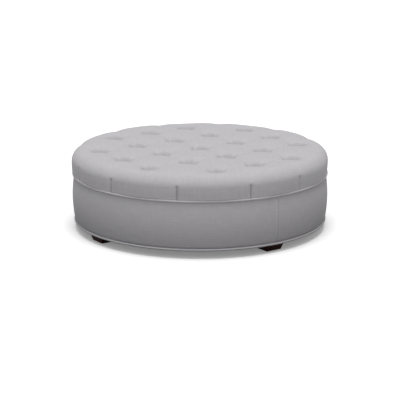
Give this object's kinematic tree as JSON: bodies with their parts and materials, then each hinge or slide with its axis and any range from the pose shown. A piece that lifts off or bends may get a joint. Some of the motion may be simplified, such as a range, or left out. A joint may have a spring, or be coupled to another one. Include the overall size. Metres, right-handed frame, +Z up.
{
  "type": "ottoman",
  "caption": "Round upholstered ottoman with a tufted, pleated cushion, a piped drum base and square tapered wooden block feet.",
  "frame": {"origin": "on the floor under the ottoman's centre", "axes": "+Z up, +X to the right along the rows of tufts as seen from the front, +Y towards the rear"},
  "size_m": [1.2138, 1.2138, 0.381],
  "materials": {
    "grey_linen": "matte",
    "espresso_wood": "satin",
    "hardwood": "matte",
    "plywood": "matte",
    "nylon": "matte",
    "zinc_steel": "satin",
    "fibre_wadding": "matte",
    "foam": "matte",
    "black_cloth": "matte",
    "twine": "matte"
  },
  "bodies": {
    "root": {"foot_front_left": "espresso_wood", "foot_block_front_left": "hardwood", "short_post_front_left": "hardwood", "foot_front_right": "espresso_wood", "foot_block_front_right": "hardwood", "short_post_front_right": "hardwood", "foot_rear_right": "espresso_wood", "foot_block_rear_right": "hardwood", "short_post_rear_right": "hardwood", "foot_rear_left": "espresso_wood", "foot_block_rear_left": "hardwood", "short_post_rear_left": "hardwood", "post_front": "hardwood", "rib_front": "plywood", "post_right": "hardwood", "rib_right": "plywood", "post_rear": "hardwood", "rib_rear": "plywood", "post_left": "hardwood", "rib_left": "plywood", "foot_glides": "nylon", "hanger_bolts": "zinc_steel", "tee_nuts": "zinc_steel", "deck_screws": "zinc_steel", "tuft_anchor_washers": "zinc_steel", "bottom_ring": "plywood", "top_ring": "plywood", "drum_skin": "plywood", "deck_board": "plywood", "base_padding": "fibre_wadding", "wadding": "fibre_wadding", "foam_pad": "foam", "base_cover_rear_right": "grey_linen", "base_cover_front_left": "grey_linen", "top_cover": "grey_linen", "lower_welt": "grey_linen", "upper_welt": "grey_linen", "dust_cover": "black_cloth", "tuft_twines": "twine"}
  },
  "joints": []
}
